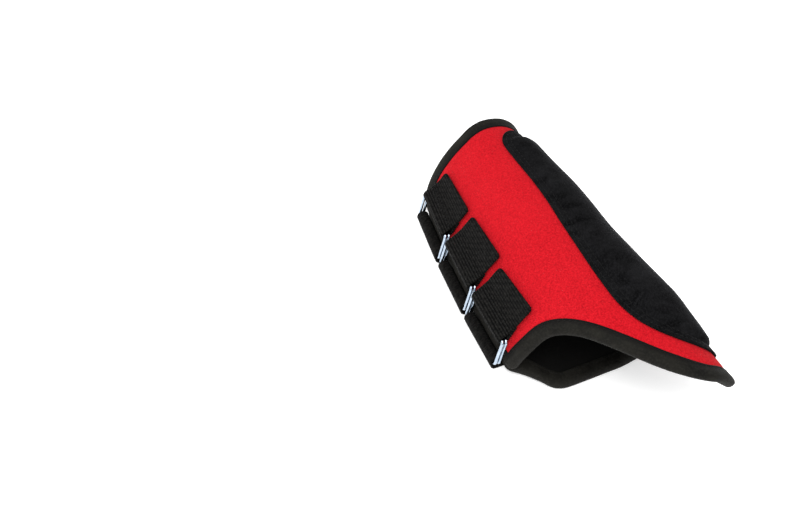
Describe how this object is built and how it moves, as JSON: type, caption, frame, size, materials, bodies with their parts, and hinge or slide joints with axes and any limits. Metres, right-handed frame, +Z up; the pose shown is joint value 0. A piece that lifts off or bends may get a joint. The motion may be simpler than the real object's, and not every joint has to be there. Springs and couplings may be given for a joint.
{
  "type": "horse leg protection boot",
  "caption": "Padded wrap boot for a horse's lower leg, with a raised suede strike pad and elastic straps on wire loops.",
  "frame": {"origin": "centre of the bounding box in plan, on the surface the closed boot lies on", "axes": "+X along the leg tunnel from the top end to the flared lower end, +Y from the strapped front edge to the back, +Z up"},
  "size_m": [0.271, 0.1317, 0.0844],
  "materials": {
    "felt": "brushed loop-pile face",
    "foam": "closed-cell foam",
    "lining": "smooth knitted lining",
    "binding": "woven binding tape",
    "suede": "napped suede",
    "plate": "moulded sheet",
    "thread": "sewing thread",
    "webbing": "flat woven elastic",
    "elastic": "ribbed woven elastic",
    "hook": "hook tape",
    "wire": "bright plated wire"
  },
  "bodies": {
    "boot": {"outer_felt": "felt", "foam_core": "foam", "inner_lining": "lining", "edge_binding": "binding", "pad_cover": "suede", "pad_foam": "foam", "strike_plate": "plate", "pad_stitching": "thread", "loop_tab_1": "webbing", "loop_tab_2": "webbing", "loop_tab_3": "webbing", "tab_stitching_1": "thread", "tab_stitching_2": "thread", "tab_stitching_3": "thread"},
    "loops_1": {"outer_loop_1": "wire", "inner_loop_1": "wire"},
    "strap_1_body": {"strap_1": "elastic", "hook_patch_1": "hook", "strap_stitching_1": "thread"},
    "loops_2": {"outer_loop_2": "wire", "inner_loop_2": "wire"},
    "strap_2_body": {"strap_2": "elastic", "hook_patch_2": "hook", "strap_stitching_2": "thread"},
    "loops_3": {"outer_loop_3": "wire", "inner_loop_3": "wire"},
    "strap_3_body": {"strap_3": "elastic", "hook_patch_3": "hook", "strap_stitching_3": "thread"}
  },
  "joints": [
    {"name": "loop_swing_1", "type": "hinge", "parent": "boot", "child": "loops_1", "pos_m": [0.01192, -0.06126, 0.0086], "axis": [0.9998, -0.021, 0], "range_deg": [0, 35]},
    {"name": "strap_peel_1", "type": "hinge", "parent": "loops_1", "child": "strap_1_body", "pos_m": [0.01202, -0.05654, 0.03201], "axis": [0.9998, -0.021, 0], "range_deg": [0, 110]},
    {"name": "loop_swing_2", "type": "hinge", "parent": "boot", "child": "loops_2", "pos_m": [-0.04027, -0.0589, 0.0086], "axis": [0.9976, -0.0694, 0], "range_deg": [0, 35]},
    {"name": "strap_peel_2", "type": "hinge", "parent": "loops_2", "child": "strap_2_body", "pos_m": [-0.03994, -0.05418, 0.03201], "axis": [0.9976, -0.0694, 0], "range_deg": [0, 110]},
    {"name": "loop_swing_3", "type": "hinge", "parent": "boot", "child": "loops_3", "pos_m": [-0.09246, -0.05401, 0.0086], "axis": [0.9931, -0.1173, 0], "range_deg": [0, 35]},
    {"name": "strap_peel_3", "type": "hinge", "parent": "loops_3", "child": "strap_3_body", "pos_m": [-0.0919, -0.04931, 0.03201], "axis": [0.9931, -0.1173, 0], "range_deg": [0, 110]}
  ]
}
